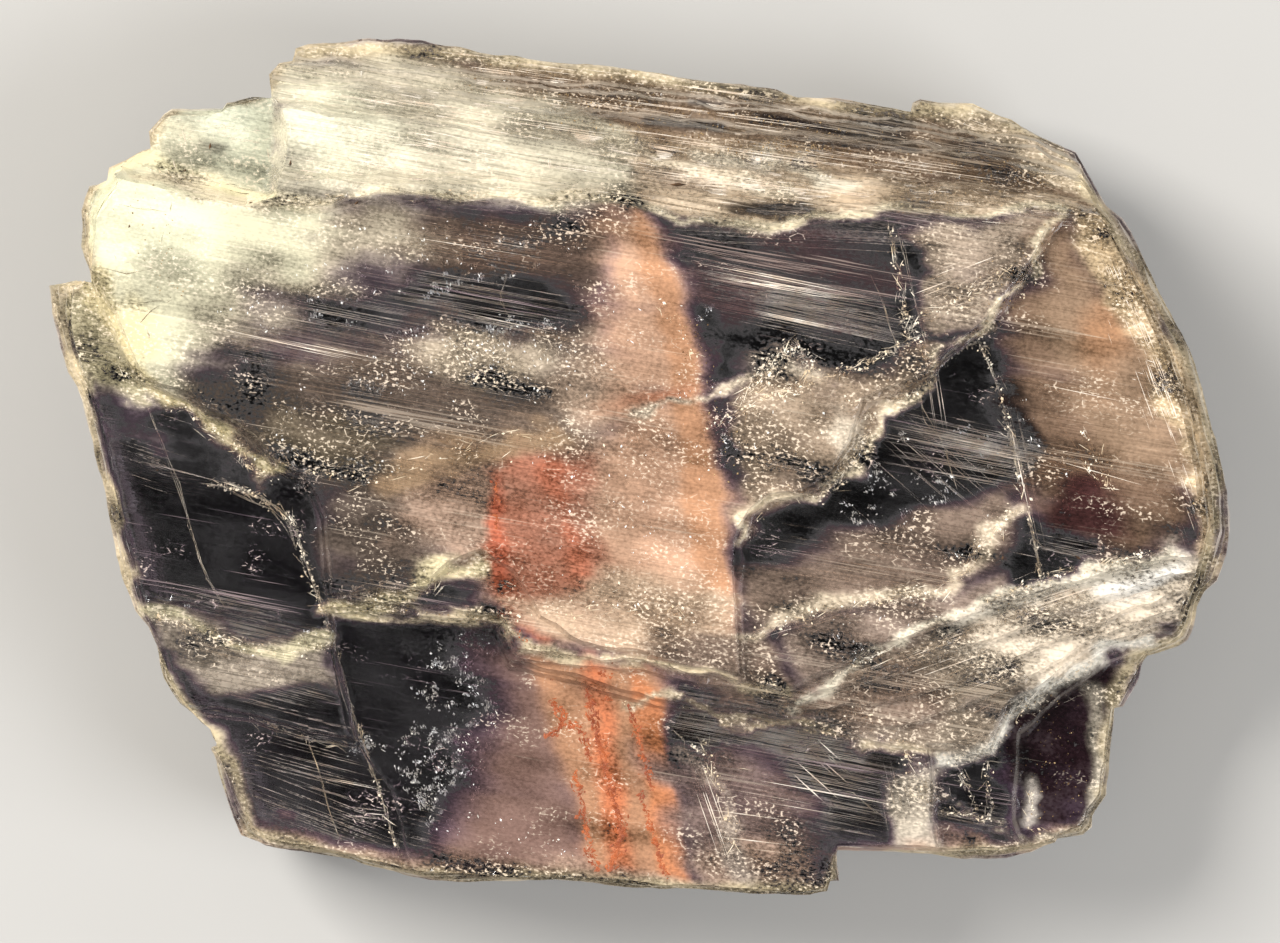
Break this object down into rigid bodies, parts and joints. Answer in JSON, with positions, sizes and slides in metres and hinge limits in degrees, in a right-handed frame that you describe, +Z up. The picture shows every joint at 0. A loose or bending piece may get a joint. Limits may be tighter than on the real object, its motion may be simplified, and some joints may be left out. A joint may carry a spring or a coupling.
{
  "type": "selenite crystal",
  "caption": "Natural slab of clear gypsum with stepped cleavage edges, ledges and an orange stain, lying on its flat face as a display specimen.",
  "frame": {"origin": "centre of the bounding box at the height of the flat back face that it rests on", "axes": "+X along the slab's length to its rounded end, +Y across it to the long sloping side, +Z up out of the front face"},
  "size_m": [0.1482, 0.1074, 0.03],
  "materials": {
    "selenite": "clear"
  },
  "bodies": {
    "root": {"selenite_crystal": "selenite"}
  },
  "joints": []
}
